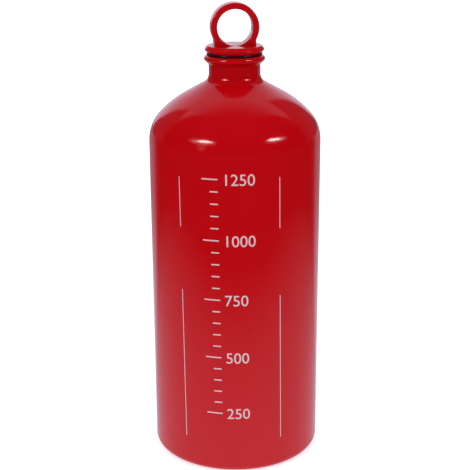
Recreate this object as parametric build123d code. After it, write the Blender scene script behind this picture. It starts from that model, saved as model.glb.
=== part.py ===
from build123d import *
from math import acos, asin, cos, degrees, pi, radians, sin, tan
import os

# A camping fuel bottle: a drawn aluminium bottle with a rolled lip, a threaded collar in its neck,
# and a screw stopper with a carrying loop that squeezes a rubber ring onto the lip.
# Millimetres, +Z up. The origin is the centre of the base, on the surface that it stands on.
# The stopper is screwed home. Its loop faces -Y, turned a little towards +X.
# Outlines of turned pieces are drawn as (radius, height).

# Bottle: outside radius, the height where the straight side ends, and the walls
body_radius = 49.0
side_top = 187.1
side_wall = 0.9
base_wall = 1.2

# Foot: its rounded edge, the flat ring it stands on and the hollow that lifts the middle of the base
foot_edge_radius = 4.4
standing_ring_width = 3.0
hollow_height = 5.0
hollow_edge_radius = 3.0

# Shoulder: two arcs and a straight cone. An end angle is the slope of the outward normal, above level
knuckle_radius = 22.5
knuckle_end_angle = 43.6
crown_radius = 62.4
crown_end_angle = 61.3

# Neck: outside radius, the fillet at its foot, and the height from that fillet to the top of the lip
neck_radius = 14.6
neck_fillet_radius = 5.5
neck_height = 10.3

# Rolled lip: how far it stands out, where its roll ends and how near its edge comes to the neck
lip_overhang = 2.6
tuck_angle = 48.0
tuck_gap = 0.15

# Threaded collar: its length, the metal behind its thread and the chamfer of its mouth
collar_length = 11.0
collar_wall = 0.95
mouth_chamfer = 0.3
seat_clearance = 0.05

# Thread of the collar and the stopper, and how far below the collar's mouth and the shank it ends
thread_pitch = 3.0
thread_height = 1.15
flank_angle = 30.0
crest_clearance = 0.3
flank_clearance = 0.25
collar_thread_depth = 2.6
stopper_run_out = 1.1
ridge_sink = 0.25

# Rubber ring: its cord, what is left of the cord's height when squeezed, and its play round the plug
seal_cord = 1.8
seal_squeezed_height = 1.2
seal_bore_clearance = 0.35

# Stopper's flange: height, the bevel under its band, the band, the bevel over it up to the flat top,
# the rounding of their edges, and how far its foot covers the rubber ring
flange_height = 4.2
flange_bevel_height = 1.7
flange_bevel_width = 1.55
flange_band_height = 0.8
flange_upper_bevel_width = 1.3
flange_edge_radius = 0.4
flange_foot_margin = 0.05

# Stopper's plug: length below the flange, the plain shank above the thread, and the hollow inside
plug_length = 14.0
plain_shank_length = 2.0
plug_wall = 2.8
plug_chamfer = 0.6
plug_roof = 3.9

# Vent slot across the stopper's thread
vent_width = 3.0
vent_depth = 0.7

# Carrying loop: hole, its height above the flange, rim, depth along the hole, feet, edges,
# and its turn when the stopper is tight
loop_hole_radius = 10.0
loop_lift = 0.12
loop_rim = 3.5
loop_depth = 11.0
foot_inset = 1.75
foot_blend_radius = 3.0
foot_sink = 1.0
loop_edge_radius = 0.8
loop_turn = 6.0

# How far a cut runs past what it cuts
overrun = 1.0


def polar(centre, radius, angle):
    """The point on a circle at an angle, in degrees above level."""
    x, y = centre[0], centre[1]
    return (x + radius * cos(radians(angle)), y + radius * sin(radians(angle)))


def arc(centre, radius, start_angle, end_angle):
    """The arc of a circle between two angles."""
    return CenterArc(centre, radius, start_angle, end_angle - start_angle)


def turned(edges):
    """The solid that a closed outline of (radius, height) makes when it turns about the bottle's axis."""
    return revolve(Plane.XZ * make_face(edges), axis=Axis.Z)


# Shoulder, from the straight side up: each arc is tangent to what comes before it
knuckle_centre = (body_radius - knuckle_radius, side_top)
knuckle_end = polar(knuckle_centre, knuckle_radius, knuckle_end_angle)
crown_centre = polar(knuckle_end, -crown_radius, knuckle_end_angle)
crown_end = polar(crown_centre, crown_radius, crown_end_angle)
fillet_start_radius = neck_radius + neck_fillet_radius * (1 - cos(radians(crown_end_angle)))
cone_length = (crown_end[0] - fillet_start_radius) / sin(radians(crown_end_angle))
fillet_start = polar(crown_end, cone_length, crown_end_angle + 90)
fillet_centre = polar(fillet_start, neck_fillet_radius, crown_end_angle)

# Lip: the neck's wall rolls outwards about this centre
lip_top = fillet_centre[1] + neck_height
neck_bore_radius = neck_radius - side_wall
roll_radius = (lip_overhang + side_wall) / 2
roll_centre = (neck_bore_radius + roll_radius, lip_top - roll_radius)

# Thread: radii of the two roots and crests, and the ridges' width where they pass each other
collar_radius = neck_bore_radius - seat_clearance
collar_root_radius = collar_radius - collar_wall
thread_radius = collar_root_radius - crest_clearance
stopper_root_radius = thread_radius - thread_height
collar_crest_radius = collar_root_radius - thread_height
mid_radius = (thread_radius + collar_crest_radius) / 2
mid_width = thread_pitch / 2 - flank_clearance

# Rubber ring: squeezed flat, it keeps its section's area, so it grows wider as it gets lower
seal_flat_width = pi * (seal_cord**2 - seal_squeezed_height**2) / (4 * seal_squeezed_height)
seal_inner_radius = thread_radius + seal_bore_clearance
seal_outer_radius = seal_inner_radius + seal_squeezed_height + seal_flat_width

# Stopper: heights and radii of its flange and plug, and the loop's centre
flange_bottom = lip_top + seal_squeezed_height
flange_top = flange_bottom + flange_height
flange_foot_radius = seal_outer_radius + flange_foot_margin
flange_radius = flange_foot_radius + flange_bevel_width
bevel_top = flange_bottom + flange_bevel_height
band_top = bevel_top + flange_band_height
plug_bottom = flange_bottom - plug_length
shank_bottom = flange_bottom - plain_shank_length
thread_top = shank_bottom - thread_height
plug_bore_radius = stopper_root_radius - plug_wall
loop_centre_height = flange_top + loop_lift + loop_hole_radius

# Each thread starts a ridge's width above the bottom of its piece, half a pitch apart, so that they mesh
stopper_thread_start = plug_bottom + thread_pitch / 2
collar_bottom = lip_top - collar_length
thread_steps = round((collar_bottom - stopper_thread_start) / thread_pitch + 1)
collar_thread_start = stopper_thread_start + (thread_steps - 1 / 2) * thread_pitch
stopper_thread_length = thread_top - stopper_run_out - stopper_thread_start
collar_thread_length = lip_top - collar_thread_depth - collar_thread_start


def side_outline(inset, bottom, top):
    """Side, shoulder and neck, a distance inside the outer surface, between two heights."""
    radius = body_radius - inset
    knuckle = arc(knuckle_centre, knuckle_radius - inset, 0, knuckle_end_angle)
    crown = arc(crown_centre, crown_radius - inset, knuckle_end_angle, crown_end_angle)
    neck_foot = arc(fillet_centre, neck_fillet_radius + inset, 180 + crown_end_angle, 180)
    return [
        Line((radius, bottom), knuckle @ 0),
        knuckle,
        crown,
        Line(crown @ 1, neck_foot @ 0),
        neck_foot,
        Line(neck_foot @ 1, (neck_radius - inset, top)),
    ]


def tuck_end(start):
    """Where the rolled wall, straight again after its roll, stops just short of the neck."""
    run_in = (neck_radius + tuck_gap - start.X) / sin(radians(-tuck_angle))
    return (neck_radius + tuck_gap, start.Y - run_in * cos(radians(tuck_angle)))


def make_bottle_shell():
    """The one-piece bottle: hollowed base, thin side, shoulder, neck and rolled lip."""
    # base, from the axis outwards
    ring_outer_radius = body_radius - foot_edge_radius
    ring_inner_radius = ring_outer_radius - standing_ring_width
    dome_radius = (ring_inner_radius**2 + hollow_height**2) / (2 * hollow_height)
    dome_centre = (0, hollow_height - dome_radius)
    inner_dome_radius = dome_radius + base_wall
    outer_dome_angle = degrees(acos(ring_inner_radius / dome_radius))
    inner_dome_angle = degrees(asin((base_wall - dome_centre[1]) / inner_dome_radius))
    outer_dome = arc(dome_centre, dome_radius, 90, outer_dome_angle)
    inner_dome = arc(dome_centre, inner_dome_radius, 90, inner_dome_angle)
    inner_edge_radius = foot_edge_radius - side_wall
    outer_edge = arc((ring_outer_radius, foot_edge_radius), foot_edge_radius, -90, 0)
    inner_edge = arc((ring_outer_radius, base_wall + inner_edge_radius), inner_edge_radius, -90, 0)

    # lip, from the neck's outside, round the inside of the roll and back round its outside
    roll_inside = arc(roll_centre, roll_radius - side_wall, 180, -tuck_angle)
    roll_outside = arc(roll_centre, roll_radius, -tuck_angle, 180)
    inner_tuck = tuck_end(roll_inside @ 1)
    outer_tuck = tuck_end(roll_outside @ 0)

    shell = turned(
        [outer_dome, Line(outer_dome @ 1, outer_edge @ 0), outer_edge]
        + side_outline(0, foot_edge_radius, roll_centre[1])
        + [roll_inside, Line(roll_inside @ 1, inner_tuck), Line(inner_tuck, outer_tuck)]
        + [Line(outer_tuck, roll_outside @ 0), roll_outside]
        + side_outline(side_wall, base_wall + inner_edge_radius, roll_centre[1])
        + [inner_edge, Line(inner_edge @ 0, inner_dome @ 1), inner_dome]
        + [Line(inner_dome @ 0, outer_dome @ 0)]
    )
    # the standing ring's inner edge is pressed round
    ring_edge = shell.edges().filter_by(GeomType.CIRCLE).sort_by(
        lambda edge: abs(edge.radius - ring_inner_radius) + abs(edge.center().Z)
    )[0]
    return fillet(ring_edge, hollow_edge_radius)


def thread_ridge(root_radius, crest_radius, start_height, length):
    """A helical ridge with sloping flanks. Its root sinks into the wall that carries it."""
    outwards = 1 if crest_radius > root_radius else -1
    sunk_radius = root_radius - outwards * ridge_sink

    def half_width(radius):
        return mid_width / 2 - outwards * (radius - mid_radius) * tan(radians(flank_angle))

    section = make_face(
        Polyline(
            (sunk_radius, -half_width(sunk_radius)),
            (crest_radius, -half_width(crest_radius)),
            (crest_radius, half_width(crest_radius)),
            (sunk_radius, half_width(sunk_radius)),
            close=True,
        )
    )
    helix = Helix(thread_pitch, length, mid_radius)
    return Pos(0, 0, start_height) * sweep(Plane.XZ * section, path=helix, is_frenet=True)


def make_threaded_collar():
    """The collar in the neck. Its countersunk rim follows the lip's roll and ends flush with the lip."""
    rim_radius = roll_radius + seat_clearance
    rim = arc(roll_centre, rim_radius, 180, 180 - degrees(asin(roll_radius / rim_radius)))
    mouth_radius = collar_root_radius + mouth_chamfer
    corners = [
        rim @ 1,
        (mouth_radius, lip_top),
        (collar_root_radius, lip_top - mouth_chamfer),
        (collar_root_radius, collar_bottom),
        (collar_radius, collar_bottom),
        rim @ 0,
    ]
    sleeve = turned([rim, Polyline(*corners)])
    ridge = thread_ridge(
        collar_root_radius, collar_crest_radius, collar_thread_start, collar_thread_length
    )
    return sleeve + ridge


def make_sealing_ring():
    """The rubber ring between the lip and the flange: flat faces and round sides."""
    side_radius = seal_squeezed_height / 2
    outer_centre = (seal_outer_radius - side_radius, lip_top + side_radius)
    inner_centre = (seal_inner_radius + side_radius, lip_top + side_radius)
    outer_side = arc(outer_centre, side_radius, -90, 90)
    inner_side = arc(inner_centre, side_radius, 90, 270)
    return turned(
        [
            outer_side,
            Line(outer_side @ 1, inner_side @ 0),
            inner_side,
            Line(inner_side @ 1, outer_side @ 0),
        ]
    )


def make_loop():
    """The carrying loop: a round ring whose sides run down into two feet on the flange."""
    half_depth = loop_depth / 2
    loop_radius = loop_hole_radius + loop_rim
    foot_half_width = loop_radius - foot_inset
    foot_height = loop_centre_height - flange_top + foot_sink
    ring = Circle(loop_radius)
    feet = Pos(0, -foot_height / 2) * Rectangle(2 * foot_half_width, foot_height)
    outline = ring + feet
    waist = outline.vertices().filter_by(lambda v: -foot_height < v.Y < 0)
    outline = fillet(waist, foot_blend_radius) - Circle(loop_hole_radius)
    upright = extrude(outline, amount=half_depth, both=True)
    rims = upright.edges().filter_by(lambda edge: abs(edge.center().Z) > half_depth / 2)
    upright = fillet(
        rims.filter_by(lambda edge: edge.center().Y > -foot_height + loop_edge_radius),
        loop_edge_radius,
    )
    return Pos(0, 0, loop_centre_height) * Rot(0, 0, loop_turn) * (Plane.XZ * upright)


def make_stopper():
    """The stopper: flange, hollow threaded plug with a vent slot, and the loop, cast as one piece."""
    flange = FilletPolyline(
        (0, flange_top),
        (flange_radius - flange_upper_bevel_width, flange_top),
        (flange_radius, band_top),
        (flange_radius, bevel_top),
        (flange_foot_radius, flange_bottom),
        radius=flange_edge_radius,
    )
    bore_top = flange_top - plug_roof
    plug = Polyline(
        flange @ 1,
        (thread_radius, flange_bottom),
        (thread_radius, shank_bottom),
        (stopper_root_radius, thread_top),
        (stopper_root_radius, plug_bottom + plug_chamfer),
        (stopper_root_radius - plug_chamfer, plug_bottom),
        (plug_bore_radius, plug_bottom),
        (plug_bore_radius, bore_top),
        (0, bore_top),
        flange @ 0,
    )
    body = turned([flange, plug]) + thread_ridge(
        stopper_root_radius, thread_radius, stopper_thread_start, stopper_thread_length
    )
    slot_inner_radius = stopper_root_radius - vent_depth
    slot_length = thread_top - plug_bottom
    slot = Pos(slot_inner_radius, 0, plug_bottom + slot_length) * Box(
        thread_radius - slot_inner_radius + overrun,
        vent_width,
        slot_length + overrun,
        align=(Align.MIN, Align.CENTER, Align.MAX),
    )
    return body - slot + make_loop()


nodes = {
    "bottle_shell": make_bottle_shell,
    "threaded_collar": make_threaded_collar,
    "sealing_ring": make_sealing_ring,
    "stopper": make_stopper,
}

os.makedirs("parts", exist_ok=True)
for name, make in nodes.items():
    solid = make()
    export_step(solid, f"parts/{name}.step")
    print(name, "volume", round(solid.volume), "solids", len(solid.solids()))
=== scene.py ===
# %% [markdown]
# # A camping fuel bottle
# The real bottle is pressed from one slug of aluminium, painted with glossy red enamel and shut
# with a cast screw stopper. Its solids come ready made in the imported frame, in metres, with the
# base on the floor. Here they get their finish, the print on the side, a floor, light and a camera.

from math import asin, cos, degrees, pi, radians, sin

import bmesh
import bpy
from mathutils import Matrix, Vector


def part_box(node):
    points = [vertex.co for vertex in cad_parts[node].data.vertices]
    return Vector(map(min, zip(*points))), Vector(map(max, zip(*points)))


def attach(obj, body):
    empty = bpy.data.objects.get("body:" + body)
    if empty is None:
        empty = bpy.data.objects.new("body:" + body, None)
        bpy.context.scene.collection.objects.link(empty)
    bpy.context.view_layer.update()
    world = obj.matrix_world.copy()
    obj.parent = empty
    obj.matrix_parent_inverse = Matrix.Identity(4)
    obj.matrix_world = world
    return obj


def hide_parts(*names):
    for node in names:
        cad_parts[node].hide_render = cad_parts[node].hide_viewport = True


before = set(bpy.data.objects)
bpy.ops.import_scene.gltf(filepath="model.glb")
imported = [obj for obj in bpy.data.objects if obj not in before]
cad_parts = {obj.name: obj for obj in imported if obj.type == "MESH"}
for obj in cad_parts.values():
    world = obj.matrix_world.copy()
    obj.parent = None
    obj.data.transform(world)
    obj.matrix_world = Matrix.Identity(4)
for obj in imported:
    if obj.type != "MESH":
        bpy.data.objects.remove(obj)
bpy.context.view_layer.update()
print("nodes", sorted(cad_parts))

# %% [markdown]
# ## Turning an outline
# A pressed bottle is round, so its whole wall follows from one closed outline of radius and height.
# The Screw modifier could turn it too. Laying out the rings of points one by one keeps full control
# of how fine the mesh is, and a glossy paint shows every coarse step in it.

# %% Points along arcs
MM = 0.001


def polar(centre, radius, angle):
    """The point on a circle at an angle, in degrees above level."""
    return (centre[0] + radius * cos(radians(angle)), centre[1] + radius * sin(radians(angle)))


def arc(centre, radius, start, end, step=3.0):
    """Points along an arc, about one every step of degrees."""
    count = max(2, round(abs(end - start) / step))
    return [polar(centre, radius, start + (end - start) * i / count) for i in range(count + 1)]


print("a quarter circle has", len(arc((0, 0), 1, 0, 90)), "points")

# %% A closed outline, turned round the axis
SEGMENTS = 256
SHARP_ANGLE = 30
NO_LENGTH = 1e-6
print("a full turn has", SEGMENTS, "points")


def ring_of_points(shape, radius, height):
    """One turn of points, or the same point all round where the outline meets the axis."""
    if radius < NO_LENGTH:
        return [shape.verts.new((0, 0, height * MM))] * SEGMENTS
    turns = [2 * pi * i / SEGMENTS for i in range(SEGMENTS)]
    places = [(radius * cos(t), radius * sin(t), height) for t in turns]
    return [shape.verts.new([c * MM for c in place]) for place in places]


def turned(name, outline):
    """A piece that a closed outline in millimetres makes when it turns round the bottle's axis."""
    points = [outline[0]]
    for point in outline[1:]:
        if abs(point[0] - points[-1][0]) + abs(point[1] - points[-1][1]) > NO_LENGTH:
            points.append(point)
    shape = bmesh.new()
    rings = [ring_of_points(shape, radius, height) for radius, height in points]
    for lower, upper in zip(rings, rings[1:] + rings[:1]):
        for i in range(SEGMENTS):
            j = (i + 1) % SEGMENTS
            corners = list(dict.fromkeys((lower[i], lower[j], upper[j], upper[i])))
            if len(corners) > 2:
                shape.faces.new(corners).smooth = True
    bmesh.ops.recalc_face_normals(shape, faces=shape.faces)
    mesh = bpy.data.meshes.new(name)
    shape.to_mesh(mesh)
    shape.free()
    mesh.set_sharp_from_angle(angle=radians(SHARP_ANGLE))
    piece = bpy.data.objects.new(name, mesh)
    bpy.context.scene.collection.objects.link(piece)
    print(name, "faces", len(mesh.polygons))
    return piece


# %% [markdown]
# ## The shoulder and the neck
# A tool necks the open end of the can in, in one smooth sweep: a tight knuckle at the top of the
# side, a flatter crown, a straight cone, and a small hollow curve up into the neck. Arcs that meet
# at a common tangent give that sweep with no kink. The radii and angles are those of the packed
# solid. Only the side is 0.03 mm lower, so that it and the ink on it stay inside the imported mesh,
# whose facets cut the true circle.

# %% The outline from the side up to the neck
INK_RADIUS, INK_THICKNESS = 48.985, 0.015
BODY_RADIUS = INK_RADIUS - INK_THICKNESS
SIDE_TOP = 187.1
WALL = 0.9
KNUCKLE_RADIUS, KNUCKLE_END = 22.5, 43.6
CROWN_RADIUS, CROWN_END = 62.4, 61.3
NECK_RADIUS, NECK_FOOT_RADIUS, NECK_HEIGHT = 14.6, 5.5, 10.3

knuckle = (BODY_RADIUS - KNUCKLE_RADIUS, SIDE_TOP)
knuckle_end = polar(knuckle, KNUCKLE_RADIUS, KNUCKLE_END)
crown = polar(knuckle_end, -CROWN_RADIUS, KNUCKLE_END)
crown_end = polar(crown, CROWN_RADIUS, CROWN_END)
neck_foot_start = NECK_RADIUS + NECK_FOOT_RADIUS * (1 - cos(radians(CROWN_END)))
cone_length = (crown_end[0] - neck_foot_start) / sin(radians(CROWN_END))
neck_foot = polar(polar(crown_end, cone_length, CROWN_END + 90), NECK_FOOT_RADIUS, CROWN_END)


def shoulder_outline(inset, step):
    """Shoulder and neck, a distance inside the outer surface, from the side up."""
    return (
        arc(knuckle, KNUCKLE_RADIUS - inset, 0, KNUCKLE_END, step)
        + arc(crown, CROWN_RADIUS - inset, KNUCKLE_END, CROWN_END, step / 2)
        + arc(neck_foot, NECK_FOOT_RADIUS + inset, 180 + CROWN_END, 180, step * 3)
    )


print("cone length", round(cone_length, 2), "neck foot height", round(neck_foot[1], 2))

# %% [markdown]
# ## The rolled lip
# The mouth's edge is rolled outwards and tucked back under, so that it is smooth and stiff. Its
# section is the wall itself bent round most of a circle. A solid torus would look the same from
# above, but from below the tucked edge and the gap behind it show.

# %% The lip's section
ROLL_RADIUS, HIDDEN_ROLL_STEP = 1.75, 6.0
TUCK_ANGLE, TUCK_GAP = 48.0, 0.15
lip_top = neck_foot[1] + NECK_HEIGHT
roll = (NECK_RADIUS - WALL + ROLL_RADIUS, lip_top - ROLL_RADIUS)


def tuck_end(start):
    """Where the rolled wall stops, just short of the neck."""
    run_in = (NECK_RADIUS + TUCK_GAP - start[0]) / sin(radians(-TUCK_ANGLE))
    return (NECK_RADIUS + TUCK_GAP, start[1] - run_in * cos(radians(TUCK_ANGLE)))


roll_inside = arc(roll, ROLL_RADIUS - WALL, 180, -TUCK_ANGLE, HIDDEN_ROLL_STEP)
roll_outside = arc(roll, ROLL_RADIUS, -TUCK_ANGLE, 180)
lip_outline = roll_inside + [tuck_end(roll_inside[-1]), tuck_end(roll_outside[0])] + roll_outside
print("lip top", round(lip_top, 3))

# %% [markdown]
# ## The base
# The middle of the base is pressed up into a shallow dome, so that the bottle stands on a ring and
# doesn't rock. A Bevel modifier could round the foot. Arcs, each tangent to the next, give the
# dome, the hollow curve at its edge and the foot their exact radii.

# %% The base's outline, outside and inside
FOOT_RADIUS, RING_WIDTH = 4.4, 3.0
HOLLOW, HOLLOW_EDGE = 5.0, 3.0
BASE_WALL = 1.2
DOME_STEP, HIDDEN_DOME_STEP = 0.5, 1.0
ring_outer = BODY_RADIUS - FOOT_RADIUS
ring_inner = ring_outer - RING_WIDTH
dome_radius = (ring_inner**2 + HOLLOW**2) / (2 * HOLLOW)
dome = (0, HOLLOW - dome_radius)
edge_height, edge_reach = HOLLOW_EDGE - dome[1], dome_radius + HOLLOW_EDGE
hollow_edge = ((edge_reach**2 - edge_height**2) ** 0.5, HOLLOW_EDGE)
edge_angle = degrees(asin(edge_height / edge_reach))
inner_dome_angle = degrees(asin((BASE_WALL - dome[1]) / (dome_radius + BASE_WALL)))
inner_foot = FOOT_RADIUS - WALL
base_outside = (
    arc(dome, dome_radius, 90, edge_angle, DOME_STEP)
    + arc(hollow_edge, HOLLOW_EDGE, edge_angle - 180, -90)
    + arc((ring_outer, FOOT_RADIUS), FOOT_RADIUS, -90, 0)
)
base_inside = arc((ring_outer, BASE_WALL + inner_foot), inner_foot, 0, -90) + arc(
    dome, dome_radius + BASE_WALL, inner_dome_angle, 90, HIDDEN_DOME_STEP
)
print("standing ring from", round(ring_inner, 2), "to", round(ring_outer, 2))

# %% [markdown]
# ## The bottle
# The outlines join into one closed loop, up the outside, over the lip and down the inside. A
# Solidify modifier could thicken a single surface, but the base is thicker than the side. Turned,
# the loop is a real wall, so the bottle is hollow when the stopper comes out. Little is seen of the
# inside, so its arcs have half the points.

# %% The whole wall, turned
SEEN_STEP, HIDDEN_STEP = 1.0, 2.0
outside = base_outside + shoulder_outline(0, SEEN_STEP)
inside = shoulder_outline(WALL, HIDDEN_STEP)[::-1] + base_inside
bottle = turned("bottle", outside + lip_outline + inside)

# %% [markdown]
# ## The sealing ring
# A rubber ring is squeezed between the lip and the stopper's flange. The solid ring is squeezed
# straight, but real rubber also swells outwards, up against the flange's bevel and out over the
# lip, and that swelling is the bold black line under the stopper. A torus could be flattened to it.
# An outline again says it exactly.

# %% The ring's section, turned
RING_INNER, RING_SIDE = 12.75, 0.6
SWELL_RADIUS, SWELL_TOP = 0.8, 57.0
SWELL_PLACE, SWELL_HEIGHT = 14.93, 0.72
FLANGE_PAST_RING = 0.04
ring_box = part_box("sealing_ring")
ring_low, ring_high = (corner[2] / MM for corner in ring_box)
flange_foot = ring_box[1][0] / MM + FLANGE_PAST_RING
swell = (SWELL_PLACE, ring_low + SWELL_HEIGHT)
swell_foot = degrees(asin(SWELL_HEIGHT / SWELL_RADIUS))
ring_side = (RING_INNER + RING_SIDE, (ring_low + ring_high) / 2)
ring_outline = (
    arc(swell, SWELL_RADIUS, -swell_foot, SWELL_TOP)
    + [(flange_foot, ring_high)]
    + arc(ring_side, RING_SIDE, 90, 270)
)
rubber_ring = turned("rubber_ring", ring_outline)
print("ring from", round(ring_low, 3), "to", round(ring_high, 3))
print("flange foot", round(flange_foot, 3))

# %% [markdown]
# ## The print: four fine lines
# The side carries off-white ink. Four fine lines lean a little, because the print sits slightly
# askew. An image could hold them, but ink drawn as thin faces stays sharp at any distance. It is
# drawn flat first, in millimetres: across is the distance along the side from the front, and up is
# the height.

# %% The fine lines, drawn flat
FINE_LINE = 0.42
LEFT_LINE, RIGHT_LINE = -31.8, 26.2
FINE_LINES = (
    (LEFT_LINE, 146.4, 174.8),
    (LEFT_LINE, 19.6, 109.8),
    (RIGHT_LINE, 146.2, 175.1),
    (RIGHT_LINE, 19.1, 107.1),
)
ink = bmesh.new()


def bar(left, right, low, high):
    """A flat bar of ink."""
    corners = [(left, low), (right, low), (right, high), (left, high)]
    ink.faces.new([ink.verts.new((x, y, 0)) for x, y in corners])


for middle, low, high in FINE_LINES:
    bar(middle - FINE_LINE / 2, middle + FINE_LINE / 2, low, high)
print("fine lines", len(FINE_LINES))

# %% [markdown]
# ## The print: a filling scale
# A plain filling scale in millilitres stands between the lines. Digits could be drawn point by
# point. A Text object gives them in Blender's own plain typeface, and they are turned into faces,
# so that they can be bent with the rest. The height of each mark follows from what the body holds.

# %% The filling scale, drawn flat
SCALE_PLACE, SCALE_LINE = -8.5, 0.7
ML_HEIGHT, ML_START = 0.13757, 3.2
LOWEST_ML, HIGHEST_ML, TICK_ML, LABEL_ML = 250, 1250, 50, 250
LONG_TICK, SHORT_TICK = 9.0, 4.5
DIGIT_HEIGHT, DIGIT_GAP = 6.6, 2.4
DIGIT_SHARE_OF_SIZE = 0.73


def digits(text, left, middle):
    """Plain digits as faces, their left edge and middle height given."""
    curve = bpy.data.curves.new("digits", "FONT")
    curve.body = text
    curve.size = DIGIT_HEIGHT / DIGIT_SHARE_OF_SIZE
    lettering = bpy.data.objects.new("digits", curve)
    mesh = bpy.data.meshes.new_from_object(lettering)
    mesh.transform(Matrix.Translation((left, middle - DIGIT_HEIGHT / 2, 0)))
    ink.from_mesh(mesh)
    bpy.data.objects.remove(lettering)
    bpy.data.curves.remove(curve)
    bpy.data.meshes.remove(mesh)


for volume in range(LOWEST_ML, HIGHEST_ML + 1, TICK_ML):
    height = ML_START + volume * ML_HEIGHT
    labelled = volume % LABEL_ML == 0
    length = LONG_TICK if labelled else SHORT_TICK
    bar(SCALE_PLACE - length, SCALE_PLACE, height - SCALE_LINE / 2, height + SCALE_LINE / 2)
    if labelled:
        digits(str(volume), SCALE_PLACE + DIGIT_GAP, height)
print("scale from", LOWEST_ML, "to", HIGHEST_ML, "ml")

# %% [markdown]
# ## The print: bent round the side
# A Simple Deform or Shrinkwrap modifier could wrap the flat ink. Moving its points by their arc
# length is as short and exact. The ink is cut into narrow strips first, so that it bends smoothly,
# and it ends 0.015 mm above the paint.

# %% The ink, cut into strips and bent
STRIP, HALF_PRINT = 0.6, 60.0
INK_LEAN, LEAN_HEIGHT = -0.0125, 97.0
strips = round(HALF_PRINT / STRIP)
for k in range(-strips, strips):
    parts = ink.verts[:] + ink.edges[:] + ink.faces[:]
    bmesh.ops.bisect_plane(ink, geom=parts, plane_co=(k * STRIP, 0, 0), plane_no=(1, 0, 0))
for vertex in ink.verts:
    across, height = vertex.co.x, vertex.co.y
    angle = (across + INK_LEAN * (height - LEAN_HEIGHT)) / INK_RADIUS
    vertex.co = (INK_RADIUS * sin(angle) * MM, -INK_RADIUS * cos(angle) * MM, height * MM)
ink_mesh = bpy.data.meshes.new("print_on_side")
ink.to_mesh(ink_mesh)
ink.free()
side_print = bpy.data.objects.new("print_on_side", ink_mesh)
bpy.context.scene.collection.objects.link(side_print)
print("print faces", len(ink_mesh.polygons))

# %% [markdown]
# ## Shader maths as expressions
# A finish is worked out from where a point lies on the piece, or from the way a ray goes. A small
# class wraps a socket, so that a plain expression such as height * 2 + 1 adds the Math nodes it
# needs.

# %% The number socket


class Value:
    """A number socket that adds Math nodes when it is calculated with."""

    def __init__(self, nodes, socket):
        self.nodes, self.socket = nodes, socket

    def math(self, operation, *others):
        return self.nodes.node("ShaderNodeMath", {"operation": operation}, [self, *others])

    def __add__(self, other):
        return self.math("ADD", other)

    def __rsub__(self, other):
        return self.nodes.node("ShaderNodeMath", {"operation": "SUBTRACT"}, [other, self])

    def __mul__(self, other):
        return self.math("MULTIPLY", other)


print("made a socket that adds and multiplies")

# %% [markdown]
# ## Nodes from one method
# Nodes are often tried out by clicking them together. In a script, one method that takes the node's
# type, its settings and its sockets keeps each finish to a few lines, and the nodes that come often
# get a short name. The sockets of the Mix node share their names, so they go by number.

# %% The node tree
MIX_FACTOR, MIX_FIRST, MIX_SECOND, MIX_RESULT = 0, 6, 7, 2


class Nodes:
    """A node tree that grows by one method."""

    def __init__(self, tree):
        self.tree = tree

    def connect(self, value, socket):
        if isinstance(value, Value):
            self.tree.links.new(value.socket, socket)
        else:
            socket.default_value = value

    def node(self, kind, settings, sockets, *outputs):
        """Adds a node, sets or links its sockets, and gives the outputs asked for."""
        node = self.tree.nodes.new(kind)
        for name, setting in settings.items():
            setattr(node, name, setting)
        pairs = sockets.items() if isinstance(sockets, dict) else enumerate(sockets)
        for key, value in pairs:
            self.connect(value, node.inputs[key])
        values = [Value(self, node.outputs[key]) for key in outputs or (0,)]
        return values if len(values) > 1 else values[0]

    def place(self):
        """Where the point lies on the piece, in metres."""
        return self.node("ShaderNodeTexCoord", {}, {}, "Object")

    def rays(self):
        """Two masks: 1 for the camera's rays, and 1 for mirrored rays."""
        return self.node("ShaderNodeLightPath", {}, {}, "Is Camera Ray", "Is Glossy Ray")

    def split(self, vector):
        return self.node("ShaderNodeSeparateXYZ", {}, [vector], "X", "Y", "Z")

    def noise(self, place, scale, detail=2.0):
        sockets = {"Vector": place, "Scale": scale, "Detail": detail}
        return self.node("ShaderNodeTexNoise", {}, sockets, "Fac")

    def mix(self, factor, first, second):
        """One colour where the factor is 0, the other where it is 1."""
        sockets = {MIX_FACTOR: factor, MIX_FIRST: first, MIX_SECOND: second}
        return self.node("ShaderNodeMix", {"data_type": "RGBA"}, sockets, MIX_RESULT)

    def colour(self, red, green, blue):
        return self.node("ShaderNodeCombineColor", {}, [red, green, blue])

    def smooth(self, value, low, high):
        """Rises softly from 0 to 1 as the value goes from low to high."""
        sockets = {"Value": value, "From Min": low, "From Max": high}
        return self.node("ShaderNodeMapRange", {"interpolation_type": "SMOOTHSTEP"}, sockets)

    def bump(self, height, strength, distance):
        sockets = {"Strength": strength, "Distance": distance, "Height": height}
        return self.node("ShaderNodeBump", {}, sockets)


print("made a node tree that grows by one method")

# %% [markdown]
# ## A finish and its shader
# Each finish starts from a Principled shader, which covers paint, metal and rubber alike. Its
# sockets could be linked one by one. Naming them as keywords, whether they get a number or a Value,
# shows at a glance what a finish is made of.

# %% A finish with its shader


class Finish(Nodes):
    """A material with the nodes of its finish."""

    def __init__(self, name):
        self.material = bpy.data.materials.new(name)
        self.material.use_nodes = True
        super().__init__(self.material.node_tree)
        self.shader = self.tree.nodes["Principled BSDF"]
        print("finish", name)

    def surface(self, **sockets):
        """Sets or links the shader's sockets, spelled with underscores."""
        for name, value in sockets.items():
            self.connect(value, self.shader.inputs[name.replace("_", " ")])


def dress(piece, finish):
    """Gives a piece one finish all over."""
    piece.data.materials.clear()
    piece.data.materials.append(finish.material)


print("made a material that takes its sockets by keyword")

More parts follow.
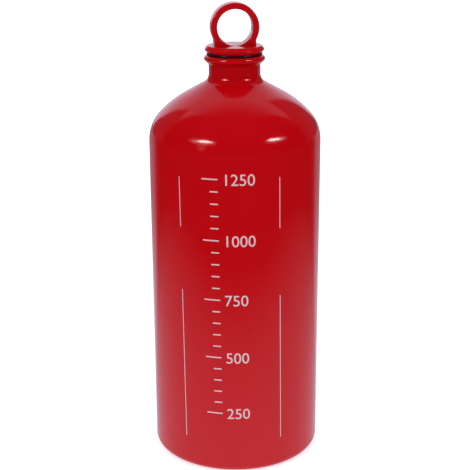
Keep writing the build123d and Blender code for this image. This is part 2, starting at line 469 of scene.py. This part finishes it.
# %% [markdown]
# ## Red enamel
# Sprayed enamel is a deep, even red with a gloss of its own. Up close it has a very faint mottle
# and an orange peel that only shows in the edges of reflections. Two noises are enough: one mixes
# two nearly equal reds and varies the gloss, and a finer one gives a very slight bump. The cast
# stopper is less even under its paint than the pressed bottle, so there the peel is higher and the
# gloss a little duller.

# %% The enamel on the bottle and the stopper
RED = (0.45, 0.0008, 0.0026, 1)
RED_THICKER = (0.48, 0.0012, 0.0034, 1)
GLOSS_VARIES = 0.03


def red_enamel(name, roughness, peel_height):
    enamel = Finish(name)
    place = enamel.place()
    mottle = enamel.noise(place, scale=60.0, detail=3.0)
    peel = enamel.noise(place, scale=450.0)
    enamel.surface(
        Base_Color=enamel.mix(mottle, RED, RED_THICKER),
        Roughness=mottle * GLOSS_VARIES + roughness,
        Normal=enamel.bump(peel, strength=0.04, distance=peel_height),
        IOR=1.5,
    )
    return enamel


dress(bottle, red_enamel("red_enamel", roughness=0.07, peel_height=0.0002))
enamel_on_casting = red_enamel("red_enamel_on_casting", roughness=0.11, peel_height=0.0003)
dress(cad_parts["stopper"], enamel_on_casting)
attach(bottle, "bottle")
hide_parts("bottle_shell")

# %% [markdown]
# ## Printed ink
# The ink is screen printed on the enamel, so it is duller than the paint, and slightly uneven where
# the screen left less of it. There the red shows through, which a mix with a pinker white gives.

# %% The ink on the side
INK = (0.66, 0.53, 0.51, 1)
INK_THINNER = (0.60, 0.45, 0.43, 1)
INK_ROUGHNESS, INK_VARIES = 0.3, 0.1

printed = Finish("printed_ink")
cover = printed.noise(printed.place(), scale=900.0, detail=3.0)
printed.surface(
    Base_Color=printed.mix(cover, INK, INK_THINNER),
    Roughness=cover * INK_VARIES + INK_ROUGHNESS,
)
dress(side_print, printed)
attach(side_print, "bottle")

# %% [markdown]
# ## Bare aluminium
# The collar in the neck is turned and left bare, so fine rings from the tool run round it, about
# 0.16 mm apart. A Wave texture could draw them. A sine of the height is as short, gives them to the
# gloss and the bump alike, and takes a noise that keeps them from being too regular.

# %% The collar
METAL = (0.70, 0.70, 0.71, 1)
METAL_LIGHTER = (0.76, 0.76, 0.77, 1)
METAL_ROUGHNESS, RINGS_VARY = 0.3, 0.05
RINGS, RINGS_WANDER = 40000.0, 3.0

aluminium = Finish("bare_aluminium")
place = aluminium.place()
height = aluminium.split(place)[2]
tool_rings = (height * RINGS + aluminium.noise(place, scale=300.0) * RINGS_WANDER).math("SINE")
aluminium.surface(
    Base_Color=aluminium.mix(aluminium.noise(place, scale=90.0), METAL, METAL_LIGHTER),
    Metallic=1.0,
    Roughness=tool_rings * RINGS_VARY + METAL_ROUGHNESS,
    Normal=aluminium.bump(tool_rings, strength=0.1, distance=0.00002),
)
dress(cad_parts["threaded_collar"], aluminium)

# %% [markdown]
# ## Black rubber
# The sealing ring is moulded rubber, nearly black, with a slight shine where it bulges between the
# lip and the flange. A fine noise gives it the grain of the mould, in its colour, its shine and its
# bump.

# %% The sealing ring
RUBBER = (0.010, 0.003, 0.003, 1)
RUBBER_LIGHTER = (0.016, 0.005, 0.005, 1)
RUBBER_ROUGHNESS, RUBBER_VARIES = 0.22, 0.1

rubber = Finish("black_rubber")
grain = rubber.noise(rubber.place(), scale=800.0)
rubber.surface(
    Base_Color=rubber.mix(grain, RUBBER, RUBBER_LIGHTER),
    Roughness=grain * RUBBER_VARIES + RUBBER_ROUGHNESS,
    Specular_IOR_Level=0.3,
    Normal=rubber.bump(grain, strength=0.05, distance=0.0001),
)
dress(rubber_ring, rubber)
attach(rubber_ring, "seal")
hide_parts("sealing_ring")

# %% [markdown]
# ## The camera
# The picture was taken from a little above. A pinhole camera and the bottle's outline were fitted
# to the picture together, which gave this lens, place and angles. A Track To constraint could aim
# the camera, but it is also rolled by a quarter of a degree, so its three directions go into a
# matrix.

# %% The camera
LENS, SENSOR = 84.40, 36.0
CLIP_START, CLIP_END = 0.01, 100
CAMERA_PLACE = (0, -0.61907, 0.32175)
PITCH, YAW, ROLL = radians(17.2771), radians(-0.0164), radians(-0.2689)

camera_data = bpy.data.cameras.new("camera")
camera_data.lens, camera_data.sensor_width = LENS, SENSOR
camera_data.clip_start, camera_data.clip_end = CLIP_START, CLIP_END
camera = bpy.data.objects.new("camera", camera_data)
bpy.context.scene.collection.objects.link(camera)
bpy.context.scene.camera = camera
forward = Vector((sin(YAW) * cos(PITCH), cos(YAW) * cos(PITCH), -sin(PITCH)))
level = Vector((cos(YAW), -sin(YAW), 0))
above = level.cross(forward)
right = level * cos(ROLL) + above * sin(ROLL)
up = above * cos(ROLL) - level * sin(ROLL)
turn = Matrix((right, up, -forward)).transposed().to_4x4()
camera.matrix_world = Matrix.Translation(CAMERA_PLACE) @ turn
print("lens", LENS, "place", CAMERA_PLACE)

# %% [markdown]
# ## The floor
# The bottle stands on a white sheet. A plane is enough for it. The camera sees it brighter than the
# lamps make it, so that it fades to white away from the foot and the bottle's shadow stays. Near
# the foot the sheet also glows towards the paint: painted bounce light that lights it from below.

# %% The floor: what the camera sees, and what lights the paint
FLOOR_SIZE, FLOOR_GREY, FLOOR_ROUGHNESS = 8, 0.8, 0.6
SEEN, SEEN_FAR, SEEN_FROM, SEEN_TO = 0.5, 0.2, 0.05, 0.9
BOUNCE, BOUNCE_NEAR, BOUNCE_REACH, BOUNCE_CORE = 0.06, 0.5, 0.45, 0.06

bpy.ops.mesh.primitive_plane_add(size=FLOOR_SIZE)
floor = bpy.context.object
floor.name = "floor"
pale = Finish("pale_floor")
camera_ray, glossy_ray = pale.rays()
side_way, back_way, _ = pale.split(pale.place())
distance = (side_way * side_way + back_way * back_way).math("SQRT")
seen = pale.smooth(distance, SEEN_FROM, SEEN_TO) * SEEN_FAR + SEEN
# painted bounce light: near the foot the sheet glows for the rays that light the paint
painted_bounce = pale.smooth(distance, BOUNCE_REACH, BOUNCE_CORE) * BOUNCE_NEAR + BOUNCE

# %% [markdown]
# ## The floor in the paint
# The enamel is nearly a mirror at a flat angle, so what it mirrors of the sheet matters as much.
# These reflections are painted: for mirrored rays alone the sheet glows with a painted pool of
# light round the foot and a painted sweep behind the bottle, which reaches sideways only as far as
# a wedge. Cards laid on the floor could give them, but the camera would see those. A brightness
# that depends on the place, and counts for mirrored rays alone, gives the same reflections.

# %% The floor: the painted reflections in the enamel
POOL, POOL_REACH, POOL_CORE, POOL_WIDTH = 0.62, 0.46, 0.03, 0.45
WEDGE_SHARE, WEDGE_EDGE, WEDGE_CORE = 0.8, 1.4, 0.9
HALO_SHARE, HALO_EDGE, HALO_CORE = 0.2, 2.4, 1.2
SWEEP, SWEEP_NEAR, SWEEP_REACH, SWEEP_CORE = 0.33, 0.38, 0.65, 0.2
SWEEP_FROM, SWEEP_FULL = 0.02, 0.08
LEAST_BACK, LEAST_MIRRORED, MIRRORED_BLUE = 0.01, 0.02, 0.2

# a painted pool of light round the foot, which only mirrored rays see
pool_distance = (side_way * side_way * POOL_WIDTH + back_way * back_way).math("SQRT")
painted_pool = pale.smooth(pool_distance, POOL_REACH, POOL_CORE) * POOL
slope = side_way.math("ABSOLUTE").math("DIVIDE", back_way.math("MAXIMUM", LEAST_BACK))
halo = pale.smooth(slope, HALO_EDGE, HALO_CORE) * HALO_SHARE
wedge = pale.smooth(slope, WEDGE_EDGE, WEDGE_CORE) * WEDGE_SHARE + halo
nearness = pale.smooth(distance, SWEEP_REACH, SWEEP_CORE) * SWEEP_NEAR + SWEEP
# a painted sweep of light behind the bottle, which only mirrored rays see
painted_sweep = nearness * wedge * pale.smooth(back_way, SWEEP_FROM, SWEEP_FULL)
mirrored = painted_pool.math("MAXIMUM", painted_sweep).math("MAXIMUM", LEAST_MIRRORED)
# the sheet's glow: white for the camera, painted bounce light towards the paint, painted
# reflections for mirrored rays
glow = camera_ray * seen + (1 - camera_ray) * (1 - glossy_ray) * painted_bounce + glossy_ray * mirrored
sheet_grey = (1 - glossy_ray) * FLOOR_GREY
pale.surface(
    Base_Color=pale.colour(sheet_grey, sheet_grey, sheet_grey),
    Roughness=FLOOR_ROUGHNESS,
    Specular_IOR_Level=0.0,
    Emission_Color=pale.colour(glow, glow, glow + glossy_ray * mirrored * MIRRORED_BLUE),
    Emission_Strength=1.0,
)
dress(floor, pale)
print("floor nodes", len(pale.tree.nodes))

# %% [markdown]
# ## The room in the paint
# The paint also mirrors the room: a white sheet hung behind the bottle, a pale screen above it, and
# dark walls. Glowing planes could stand for them, but other views would see these. A world that
# depends only on the direction of a ray gives the same reflections. An edge of the sheet or the
# screen is a plane through the bottle, and a dot product with its normal tells on which side of it
# a ray goes.

# %% The room: the sheet, the screen and the walls
SHEET_EDGES = (1.0, 0.50, 0.41), (-1.0, 0.36, 0.26)
SHEET_BLUR, SHEET_BACK = 0.05, 0.35
SHEET_FOOT, SHEET_FALL, SHEET_MOST = 1.10, 0.9, 0.85
SCREEN_EDGES = (0.0, -1.0, 0.69), (1.0, 1.13, 0.31), (-1.0, 1.13, 0.31)
SCREEN_BLUR_OUT, SCREEN_BLUR_IN = 0.03, 0.06
SCREEN_RISE, SCREEN_MOST, LEAST_UP = 0.85, 0.40, 0.05
DARK, DARK_BEHIND, DARK_FROM, DARK_TO = 0.01, 0.07, 0.2, 0.5

world = bpy.data.worlds.new("studio")
bpy.context.scene.world = world
world.use_nodes = True
room = Nodes(world.node_tree)
ray_way = room.node("ShaderNodeTexCoord", {}, {}, "Generated")
_, back_way, up_way = room.split(ray_way)


def within(edges):
    """Above 0 for rays on the inner side of every edge, each given by its normal."""
    dot = {"operation": "DOT_PRODUCT"}
    sides = [room.node("ShaderNodeVectorMath", dot, [ray_way, edge], "Value") for edge in edges]
    least = sides[0]
    for side in sides[1:]:
        least = least.math("MINIMUM", side)
    return least


behind = room.smooth(back_way, 0.0, SHEET_BACK)
on_sheet = room.smooth(within(SHEET_EDGES), -SHEET_BLUR, SHEET_BLUR) * behind
sheet = (SHEET_FOOT - up_way * SHEET_FALL).math("MINIMUM", SHEET_MOST) * on_sheet
on_screen = room.smooth(within(SCREEN_EDGES), -SCREEN_BLUR_OUT, SCREEN_BLUR_IN)
flatness = back_way.math("DIVIDE", up_way.math("MAXIMUM", LEAST_UP))
screen = (flatness * SCREEN_RISE).math("MINIMUM", SCREEN_MOST) * on_screen
dark_walls = room.smooth(back_way, DARK_FROM, DARK_TO) * DARK_BEHIND + DARK
mirrored = sheet.math("MAXIMUM", screen).math("MAXIMUM", dark_walls)
print("room nodes", len(room.tree.nodes))

# %% [markdown]
# ## The room's light
# The camera sees plain white behind the bottle. The paint's own colour is lit evenly from all
# sides, with more light from above, as a pale ceiling gives. So each kind of ray gets its own
# strength.

# %% The room: its strength for each kind of ray
ROOM_COLOUR = (1, 1, 1.22, 1)
CEILING, WALLS = 1.04, 0.34

camera_ray, glossy_ray = room.rays()
lighting = up_way * up_way * CEILING + WALLS
strength = camera_ray + (1 - camera_ray) * (glossy_ray * mirrored + (1 - glossy_ray) * lighting)
background = world.node_tree.nodes["Background"]
background.inputs["Color"].default_value = ROOM_COLOUR
room.connect(strength, background.inputs["Strength"])
print("world", world.name)

# %% [markdown]
# ## The softboxes
# Two softboxes stand in front, one at each side, and draw the short bright streaks on the shoulder.
# An area lamp gives both the light and its reflection. A real softbox fades towards its rim, so
# each is a nest of ovals, the larger the weaker, and one below the left gives its streak a tail.

# %% The lamps
AIM_HEIGHT = 0.19


def softbox(name, side, height, width, tall, radiance, distance=1.2, lean=0):
    """An oval lamp, seen from the bottle at an angle to its side and above level."""
    lamp = bpy.data.lights.new(name, "AREA")
    lamp.shape = "ELLIPSE"
    lamp.size, lamp.size_y = width, tall
    oval_area = pi * width * tall / 4
    lamp.energy = radiance * pi * oval_area
    box = bpy.data.objects.new(name, lamp)
    bpy.context.scene.collection.objects.link(box)
    side, height = radians(side), radians(height)
    way = Vector((sin(side) * cos(height), -cos(side) * cos(height), sin(height)))
    box.location = Vector((0, 0, AIM_HEIGHT)) + way * distance
    box.rotation_euler = way.to_track_quat("Z", "Y").to_euler()
    box.rotation_euler.rotate_axis("Z", radians(lean))
    box.visible_camera = False
    print("lamp", name, "watts", round(lamp.energy, 2))


softbox("left_centre", side=-41.8, height=26.1, width=0.34, tall=0.12, radiance=10.5, lean=7)
softbox("left_softbox", side=-42.6, height=25.7, width=0.46, tall=0.15, radiance=5.5, lean=7)
softbox("left_rim", side=-44, height=25, width=0.66, tall=0.17, radiance=2.2, lean=7)
softbox("left_glow", side=-46, height=24, distance=1.25, width=0.85, tall=0.36, radiance=0.5)
softbox("left_tail", side=-44, height=14, distance=1.3, width=0.26, tall=0.60, radiance=0.4)
softbox("right_centre", side=56, height=26.3, width=0.32, tall=0.12, radiance=10, lean=-8)
softbox("right_softbox", side=57, height=25.9, width=0.42, tall=0.15, radiance=5.5, lean=-8)
softbox("right_rim", side=59, height=25.4, width=0.54, tall=0.17, radiance=2.2, lean=-8)
softbox("right_glow", side=59, height=24.5, distance=1.25, width=0.75, tall=0.32, radiance=0.4)

# %% [markdown]
# ## Colours as they are written
# Blender's usual view transform greys strong colours. Standard shows the red as it is written.

# %% The view transform
view = bpy.context.scene.view_settings
view.view_transform = "Standard"
print("view transform", view.view_transform)
